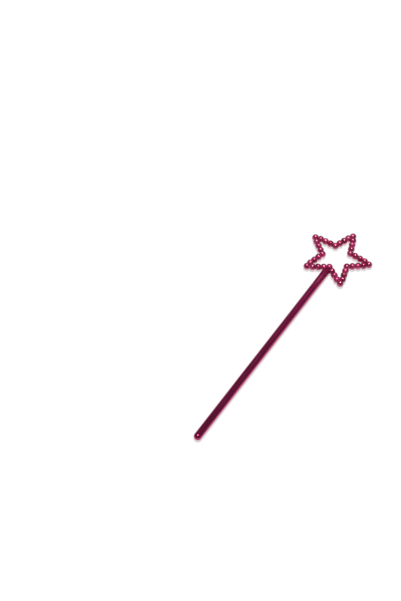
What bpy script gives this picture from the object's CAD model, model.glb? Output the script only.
import math

import bmesh
import bpy
from mathutils import Matrix, Vector


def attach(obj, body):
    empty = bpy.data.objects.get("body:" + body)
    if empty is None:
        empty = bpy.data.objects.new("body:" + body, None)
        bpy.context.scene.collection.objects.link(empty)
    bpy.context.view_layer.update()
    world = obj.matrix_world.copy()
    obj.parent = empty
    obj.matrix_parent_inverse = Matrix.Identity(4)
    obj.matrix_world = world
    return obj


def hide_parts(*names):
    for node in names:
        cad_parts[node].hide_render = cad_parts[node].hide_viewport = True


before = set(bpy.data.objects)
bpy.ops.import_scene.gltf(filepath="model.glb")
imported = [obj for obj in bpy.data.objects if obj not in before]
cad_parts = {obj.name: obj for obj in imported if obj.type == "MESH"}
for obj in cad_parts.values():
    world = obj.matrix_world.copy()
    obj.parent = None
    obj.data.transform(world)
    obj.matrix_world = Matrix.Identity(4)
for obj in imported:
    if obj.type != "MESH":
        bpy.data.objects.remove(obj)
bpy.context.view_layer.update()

scene = bpy.context.scene
scene.view_settings.view_transform = "Standard"
MM = 0.001

# Sizes of the wand in millimetres, as its solids have them
BEAD_R = 1.8
BEAD_L = 2.83
PITCH = 2.88
SIDE_BEADS = 3
HOLE_R = 0.28
CORNER_R = 7.6
STAR_Y = 54.8825
PLANE_Z = 1.95
STICK_R = 1.95
STICK_L = 119.6
RIM_DROP = 8.7
RIM_Y = STAR_Y - RIM_DROP
END_Y = RIM_Y - STICK_L
NECK_L = 3
NECK_STEP = 0.15
NECK_R = STICK_R - NECK_STEP
RIM_BEVEL = 0.2
SEAT_GAP = 0.08
SEAT_R = BEAD_R + SEAT_GAP

# Turn from point to point of the star, and half the angle between the two rows at a tip bead
POINT_STEP = math.radians(72)
TIP_HALF = math.radians(30)

# Names of the nodes, clockwise from the point opposite the stick
TIP_BEADS = ["top_tip_bead", "right_tip_bead", "lower_right_tip_bead", "lower_left_tip_bead",
             "left_tip_bead"]
CORNER_BEADS = ["upper_right_corner_bead", "lower_right_corner_bead", "root_bead",
                "lower_left_corner_bead", "upper_left_corner_bead"]
SIDE_ROWS = [("top_point_left_beads", "top_point_right_beads"),
             ("right_point_upper_beads", "right_point_lower_beads"),
             ("lower_right_point_outer_beads", "lower_right_point_inner_beads"),
             ("lower_left_point_inner_beads", "lower_left_point_outer_beads"),
             ("left_point_lower_beads", "left_point_upper_beads")]
ROOT = CORNER_BEADS.index("root_bead")

# Fine moulding marks, in millimetres
FLASH = 0.02
MOUTH_LIP = 0.04

# How finely the shapes are worked: lengths in millimetres, steps of each turned outline
WELD = 0.001
CUT = 0.0001
SHARP = math.radians(40)
FULL_TURN = math.radians(360)
BALL_STEPS = 26
BEAD_STEPS = 64
DOME_STEPS = 18
STICK_STEPS = 96

# What the plating gains in roughness from the domed end to the star, and what the coat's haze does
PLATE_WEAR = 0.22
COAT_WEAR = 0.34
COAT_HAZE = 0.1


# Colours and nodes
def linear(code):
    """An sRGB hex colour as the linear one that a socket takes."""
    parts = [int(code[i:i + 2], 16) / 255 for i in (1, 3, 5)]
    return [c / 12.92 if c <= 0.04045 else ((c + 0.055) / 1.055) ** 2.4 for c in parts] + [1]


def add(tree, kind, links=(), values=(), **settings):
    """A node of that kind with its settings, its sockets' values, and links to its sockets."""
    node = tree.nodes.new(kind)
    for key, value in settings.items():
        setattr(node, key, value)
    for socket, value in dict(values).items():
        node.inputs[socket].default_value = value
    for socket, source in dict(links).items():
        tree.links.new(source, node.inputs[socket])
    return node


def grain(size):
    """Noise scale that gives grains of that size in millimetres."""
    return 1 / (size * MM)


def new_material(name):
    """A fresh material with its node tree and its shader."""
    material = bpy.data.materials.new(name)
    material.use_nodes = True
    return material, material.node_tree, material.node_tree.nodes["Principled BSDF"]


def metallised_polystyrene(name, deep, light, run, dull, gloss):
    """Moulded polystyrene, vacuum metallised and dipped in clear magenta lacquer: a tinted mirror
    under a gloss coat. The lacquer is thicker in places, which deepens the colour, and the
    moulding's sink bends reflections a little. deep and light are the colours of thick and thin
    lacquer, run stretches the pattern along the wand, dull is the least and the most roughness
    under the coat, and gloss is the coat's weight."""
    material, tree, shader = new_material(name)
    shader.inputs["Metallic"].default_value = 1
    shader.inputs["Coat Weight"].default_value = gloss
    shader.inputs["Coat IOR"].default_value = 1.6
    place = add(tree, "ShaderNodeTexCoord")
    along = add(tree, "ShaderNodeMapping", {"Vector": place.outputs["Object"]},
                {"Scale": (1, 1 / run, 1)})
    # Lacquer thickness, in patches of about 4 mm
    pool = add(tree, "ShaderNodeTexNoise", {"Vector": along.outputs["Vector"]},
               {"Scale": grain(4), "Detail": 2, "Roughness": 0.5})
    tint = add(tree, "ShaderNodeValToRGB", {"Fac": pool.outputs["Fac"]})
    tint.color_ramp.elements[0].position = 0.3
    tint.color_ramp.elements[0].color = linear(deep)
    tint.color_ramp.elements[1].position = 0.7
    tint.color_ramp.elements[1].color = linear(light)
    tree.links.new(tint.outputs["Color"], shader.inputs["Base Color"])
    # Handling haze, in patches of about 2 mm
    haze = add(tree, "ShaderNodeTexNoise", {"Vector": along.outputs["Vector"]},
               {"Scale": grain(2), "Detail": 3, "Roughness": 0.6})
    satin = add(tree, "ShaderNodeMapRange", {"Value": haze.outputs["Fac"]},
                {"From Min": 0.35, "From Max": 0.75, "To Min": dull[0], "To Max": dull[1]})
    # The plated layer and its coat grow duller towards the star, where the wand was held
    split = add(tree, "ShaderNodeSeparateXYZ", {"Vector": place.outputs["Object"]})
    worn = add(tree, "ShaderNodeMapRange", {"Value": split.outputs["Y"]},
               {"From Min": END_Y * MM, "From Max": RIM_Y * MM})
    matt = add(tree, "ShaderNodeMath", {0: worn.outputs["Result"], 2: satin.outputs["Result"]},
               {1: PLATE_WEAR}, operation="MULTIPLY_ADD")
    tree.links.new(matt.outputs[0], shader.inputs["Roughness"])
    haziest = add(tree, "ShaderNodeMath", {0: worn.outputs["Result"]},
                  {1: COAT_WEAR, 2: COAT_HAZE}, operation="MULTIPLY_ADD")
    rubbed = add(tree, "ShaderNodeMapRange",
                 {"Value": haze.outputs["Fac"], "To Max": haziest.outputs[0]},
                 {"From Min": 0.46, "From Max": 0.6, "To Min": 0.03})
    tree.links.new(rubbed.outputs["Result"], shader.inputs["Coat Roughness"])
    # Orange peel of the lacquer: really about 0.2 mm, drawn at 0.5 mm so that it shows
    peel = add(tree, "ShaderNodeTexNoise", {"Vector": place.outputs["Object"]},
               {"Scale": grain(0.5), "Detail": 1})
    skin = add(tree, "ShaderNodeBump", {"Height": peel.outputs["Fac"]},
               {"Strength": 0.3, "Distance": 0.004 * MM})
    # Sink of the moulding, in hollows of about 1.6 mm
    sink = add(tree, "ShaderNodeTexNoise", {"Vector": along.outputs["Vector"]},
               {"Scale": grain(1.6), "Detail": 1})
    bent = add(tree, "ShaderNodeBump",
               {"Height": sink.outputs["Fac"], "Normal": skin.outputs["Normal"]},
               {"Strength": 0.8, "Distance": 0.14 * MM})
    tree.links.new(bent.outputs["Normal"], shader.inputs["Normal"])
    tree.links.new(bent.outputs["Normal"], shader.inputs["Coat Normal"])
    return material


def drawn_steel_wire(name):
    """Bright steel wire pulled through a die: grey metal with fine die marks and dull spots."""
    material, tree, shader = new_material(name)
    shader.inputs["Metallic"].default_value = 1
    place = add(tree, "ShaderNodeTexCoord")
    # Drawing oil left in patches of about 1 mm, which dulls the metal
    film = add(tree, "ShaderNodeTexNoise", {"Vector": place.outputs["Object"]},
               {"Scale": grain(1), "Detail": 3})
    shade = add(tree, "ShaderNodeValToRGB", {"Fac": film.outputs["Fac"]})
    shade.color_ramp.elements[0].position = 0.35
    shade.color_ramp.elements[0].color = linear("#A19D98")
    shade.color_ramp.elements[1].position = 0.7
    shade.color_ramp.elements[1].color = linear("#CBC8C4")
    tree.links.new(shade.outputs["Color"], shader.inputs["Base Color"])
    dull = add(tree, "ShaderNodeMapRange", {"Value": film.outputs["Fac"]},
               {"To Min": 0.45, "To Max": 0.2})
    tree.links.new(dull.outputs["Result"], shader.inputs["Roughness"])
    # Die marks: really about 0.02 mm, drawn at 0.08 mm so that they show
    marks = add(tree, "ShaderNodeTexNoise", {"Vector": place.outputs["Object"]},
                {"Scale": grain(0.08), "Detail": 1})
    score = add(tree, "ShaderNodeBump", {"Height": marks.outputs["Fac"]},
                {"Strength": 0.2, "Distance": 0.01 * MM})
    tree.links.new(score.outputs["Normal"], shader.inputs["Normal"])
    return material


stick_finish = metallised_polystyrene("metallised_polystyrene_stick", "#A41058", "#B81C68",
                                      run=8, dull=(0.05, 0.14), gloss=0.5)
bead_finish = metallised_polystyrene("metallised_polystyrene_beads", "#981048", "#D54484",
                                     run=1, dull=(0.1, 0.4), gloss=1)
wire_steel = drawn_steel_wire("drawn_steel_wire")

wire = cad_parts["star_wire"]
wire.data.materials.clear()
wire.data.materials.append(wire_steel)


# Pieces
def whole(mesh):
    """All the points, edges and faces of a mesh."""
    return mesh.verts[:] + mesh.edges[:] + mesh.faces[:]


def finish_piece(mesh, node, material):
    """Makes the worked mesh, in millimetres, the piece that stands for a node."""
    bmesh.ops.remove_doubles(mesh, verts=mesh.verts, dist=WELD)
    bmesh.ops.dissolve_degenerate(mesh, edges=mesh.edges, dist=WELD)
    bmesh.ops.recalc_face_normals(mesh, faces=mesh.faces)
    for face in mesh.faces:
        face.smooth = True
    for edge in mesh.edges:
        edge.smooth = edge.calc_face_angle(0) < SHARP
    bmesh.ops.scale(mesh, vec=(MM, MM, MM), verts=mesh.verts)
    piece = bpy.data.objects.new("moulded_" + node, bpy.data.meshes.new("moulded_" + node))
    mesh.to_mesh(piece.data)
    mesh.free()
    piece.data.materials.append(material)
    scene.collection.objects.link(piece)
    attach(piece, "root")
    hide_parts(node)


# Places of the forty beads, in order along the wire
corner_turn = POINT_STEP / 2
corner_x = CORNER_R * math.cos(corner_turn)
corner_y = CORNER_R * math.sin(corner_turn)
row_turn = math.asin((corner_y - PITCH / 2) / (SIDE_BEADS * PITCH))
tip_r = corner_x + SIDE_BEADS * PITCH * math.cos(row_turn) + PITCH * math.cos(TIP_HALF)


def on_point(point, x, y):
    """A place drawn on a point along X, turned to that point of the star."""
    turn = Matrix.Rotation(math.radians(90) - point * POINT_STEP, 3, "Z")
    return turn @ Vector((x, y, 0)) + Vector((0, STAR_Y, PLANE_Z))


def corner_place(point):
    """Place of the inner corner that comes clockwise after a point."""
    return on_point(point + 0.5, CORNER_R, 0)


def row_place(point, side, count):
    """Place of a side bead, counted from the corner. Side 1 is the clockwise one."""
    return on_point(point, corner_x + count * PITCH * math.cos(row_turn),
                    -side * (corner_y - count * PITCH * math.sin(row_turn)))


string = []
for point, (before, after) in enumerate(SIDE_ROWS):
    string += [(before, row_place(point, -1, count)) for count in range(1, SIDE_BEADS + 1)]
    string.append((TIP_BEADS[point], on_point(point, tip_r, 0)))
    string += [(after, row_place(point, 1, count)) for count in range(SIDE_BEADS, 0, -1)]
    string.append((CORNER_BEADS[point], corner_place(point)))


def moulded_bead(place, behind, ahead, beside):
    """A drilled bead, flat at its ends. One half is turned round the wire that comes in, cut off
    at the mitre, and mirrored for the wire that goes out. A fine flash line runs round it in the
    star's plane. behind, ahead and beside are the ways to the beads that it touches."""
    ball_r = BEAD_R - FLASH
    half_l = BEAD_L / 2
    flat_r = math.sqrt(ball_r ** 2 - half_l ** 2)
    bead = bmesh.new()
    # The hole's wall starts past the middle, where the mitre cuts it
    tip = bead.verts.new((-2 * HOLE_R, HOLE_R, 0))
    for x, radius in [(half_l - MOUTH_LIP, HOLE_R), (half_l, HOLE_R + MOUTH_LIP), (half_l, flat_r)]:
        tip = bmesh.ops.extrude_vert_indiv(bead, verts=[tip])["verts"][0]
        tip.co = (x, radius, 0)
    bmesh.ops.spin(bead, geom=[tip], cent=(0, 0, 0), axis=(0, 0, 1),
                   angle=math.pi - math.atan2(flat_r, half_l), steps=BALL_STEPS)
    bmesh.ops.spin(bead, geom=bead.verts[:] + bead.edges[:], cent=(0, 0, 0), axis=(1, 0, 0),
                   angle=FULL_TURN, steps=BEAD_STEPS, use_merge=True)
    bmesh.ops.remove_doubles(bead, verts=bead.verts, dist=WELD)
    ridge = [vert for vert in bead.verts
             if abs(vert.co.z) < WELD and abs(vert.co.length - ball_r) < WELD]
    bmesh.ops.scale(bead, vec=[BEAD_R / ball_r] * 3, verts=ridge)
    facing = Matrix.Rotation(math.atan2(behind.y, behind.x), 3, "Z")
    bmesh.ops.rotate(bead, cent=(0, 0, 0), matrix=facing, verts=bead.verts)
    mitre = (ahead - behind).normalized()
    bmesh.ops.bisect_plane(bead, geom=whole(bead), dist=CUT, plane_co=(0, 0, 0), plane_no=mitre,
                           clear_outer=True)
    other = bmesh.ops.duplicate(bead, geom=whole(bead))["geom"]
    bmesh.ops.transform(bead, matrix=Matrix.Scale(-1, 4, mitre), space=Matrix(),
                        verts=[part for part in other if isinstance(part, bmesh.types.BMVert)])
    bmesh.ops.remove_doubles(bead, verts=bead.verts, dist=WELD)
    for way in beside:
        bmesh.ops.bisect_plane(bead, geom=whole(bead), dist=CUT, plane_co=way * half_l,
                               plane_no=way, clear_outer=True)
        rim = [edge for edge in bead.edges if edge.is_boundary]
        bmesh.ops.holes_fill(bead, edges=rim, sides=0)
    bmesh.ops.translate(bead, vec=place, verts=bead.verts)
    return bead


# Beads whose middles are closer than this touch, though the wire doesn't join them
TOUCHING = 1.1 * PITCH
bead_nodes = {}
for number, (node, place) in enumerate(string):
    behind = string[number - 1][1]
    ahead = string[(number + 1) % len(string)][1]
    beside = [(other - place).normalized() for _, other in string
              if other not in (behind, place, ahead) and (other - place).length < TOUCHING]
    single = moulded_bead(place, (behind - place).normalized(), (ahead - place).normalized(),
                          beside)
    passing = bpy.data.meshes.new("bead")
    single.to_mesh(passing)
    single.free()
    bead_nodes.setdefault(node, bmesh.new()).from_mesh(passing)
    bpy.data.meshes.remove(passing)
for node, mesh in bead_nodes.items():
    finish_piece(mesh, node, bead_finish)

# Stick: half its outline, from the domed end up to the rim, then spun round its axis
stick = bmesh.new()
foot = stick.verts.new((0, END_Y, PLANE_Z))
bmesh.ops.spin(stick, geom=[foot], cent=(0, END_Y + STICK_R, PLANE_Z), axis=(0, 0, 1),
               angle=math.radians(90), steps=DOME_STEPS)
for radius, y, cuts in [(STICK_R, RIM_Y - NECK_L, 40), (NECK_R, RIM_Y - RIM_BEVEL, 30),
                        (NECK_R - RIM_BEVEL, RIM_Y, 3), (0, RIM_Y, 15)]:
    top = max(stick.verts, key=lambda vert: vert.co.y)
    drawn = bmesh.ops.extrude_vert_indiv(stick, verts=[top])
    drawn["verts"][0].co = (radius, y, PLANE_Z)
    bmesh.ops.subdivide_edges(stick, edges=drawn["edges"], cuts=cuts)
bmesh.ops.spin(stick, geom=stick.verts[:] + stick.edges[:], cent=(0, 0, PLANE_Z), axis=(0, 1, 0),
               angle=FULL_TURN, steps=STICK_STEPS, use_merge=True)
bmesh.ops.remove_doubles(stick, verts=stick.verts, dist=WELD)
# The rim is hollowed for the root bead and its two neighbours
for seat in (corner_place(ROOT), row_place(ROOT, 1, 1), row_place(ROOT + 1, -1, 1)):
    for vert in stick.verts:
        out = vert.co - seat
        if out.length < SEAT_R:
            vert.co.y = seat.y - math.sqrt(SEAT_R ** 2 - out.x ** 2 - out.z ** 2)
# Flash line where the mould's halves met, along both sides
for vert in stick.verts:
    if abs(vert.co.z - PLANE_Z) < WELD and abs(vert.co.x) > NECK_R:
        vert.co.x += math.copysign(FLASH, vert.co.x)
finish_piece(stick, "stick", stick_finish)

# Table, in metres, and how much of its white is its own where the eye or the metal sees it, so
# that its shadows stay pale
TABLE_R = 6
OWN_WHITE = 0.62
table_white, tree, paper = new_material("white_paper")
paper.inputs["Base Color"].default_value = linear("#FCFCFC")
paper.inputs["Roughness"].default_value = 0.6
paper.inputs["Specular IOR Level"].default_value = 0.2
glow = add(tree, "ShaderNodeEmission", values={"Color": (1, 1, 1, 1), "Strength": 1})
ray = add(tree, "ShaderNodeLightPath")
seen = add(tree, "ShaderNodeMath",
           {0: ray.outputs["Is Camera Ray"], 1: ray.outputs["Is Glossy Ray"]},
           operation="MAXIMUM")
seen = add(tree, "ShaderNodeMath",
           {0: seen.outputs[0], 1: ray.outputs["Is Transmission Ray"]}, operation="MAXIMUM")
share = add(tree, "ShaderNodeMath", {0: seen.outputs[0]}, {1: OWN_WHITE}, operation="MULTIPLY")
white = add(tree, "ShaderNodeMixShader",
            {0: share.outputs[0], 1: paper.outputs[0], 2: glow.outputs[0]})
tree.links.new(white.outputs[0], tree.nodes["Material Output"].inputs["Surface"])
table_mesh = bmesh.new()
bmesh.ops.create_circle(table_mesh, cap_ends=True, segments=96, radius=TABLE_R)
table = bpy.data.objects.new("table", bpy.data.meshes.new("table"))
table_mesh.to_mesh(table.data)
table_mesh.free()
table.data.materials.append(table_white)
scene.collection.objects.link(table)

# A dim room, which the eye sees as white past the table's edge
ROOM_LEVEL = 0.2
room = bpy.data.worlds.new("room")
scene.world = room
room.use_nodes = True
tree = room.node_tree
ray = add(tree, "ShaderNodeLightPath")
level = add(tree, "ShaderNodeMapRange", {"Value": ray.outputs["Is Camera Ray"]},
            {"To Min": ROOM_LEVEL, "To Max": 1})
tree.links.new(level.outputs["Result"], tree.nodes["Background"].inputs["Strength"])
tree.nodes["Background"].inputs["Color"].default_value = (1, 1, 1, 1)

# The camera's heading over the table, counted from the wand's length, its height in degrees, the
# place that it looks at and its distance in millimetres
HEADING = math.radians(34.45)
ELEVATION = 54.14
TARGET = Vector((-42.5, -7.32, 1.85))
DISTANCE = 543


def way_up(height):
    """The way to a height in degrees over the camera's heading. Past 90 it leans away from it."""
    rise = math.radians(height)
    return Vector((math.cos(rise) * math.sin(HEADING), -math.cos(rise) * math.cos(HEADING),
                   math.sin(rise)))


# A lamp far off, nearly overhead, which leans a little away from the camera
LAMP_HEIGHT = 96
lamp = bpy.data.objects.new("top_lamp", bpy.data.lights.new("top_lamp", "SUN"))
lamp.data.energy = 2.8
lamp.data.angle = math.radians(18)
lamp.rotation_mode = "QUATERNION"
lamp.rotation_quaternion = way_up(LAMP_HEIGHT).to_track_quat("Z", "Y")
scene.collection.objects.link(lamp)

camera = bpy.data.objects.new("camera", bpy.data.cameras.new("camera"))
scene.collection.objects.link(camera)
scene.camera = camera
camera.data.sensor_width = 36
camera.data.lens = 65
back = way_up(ELEVATION)
camera.location = (TARGET + back * DISTANCE) * MM
camera.rotation_mode = "QUATERNION"
camera.rotation_quaternion = back.to_track_quat("Z", "Y")
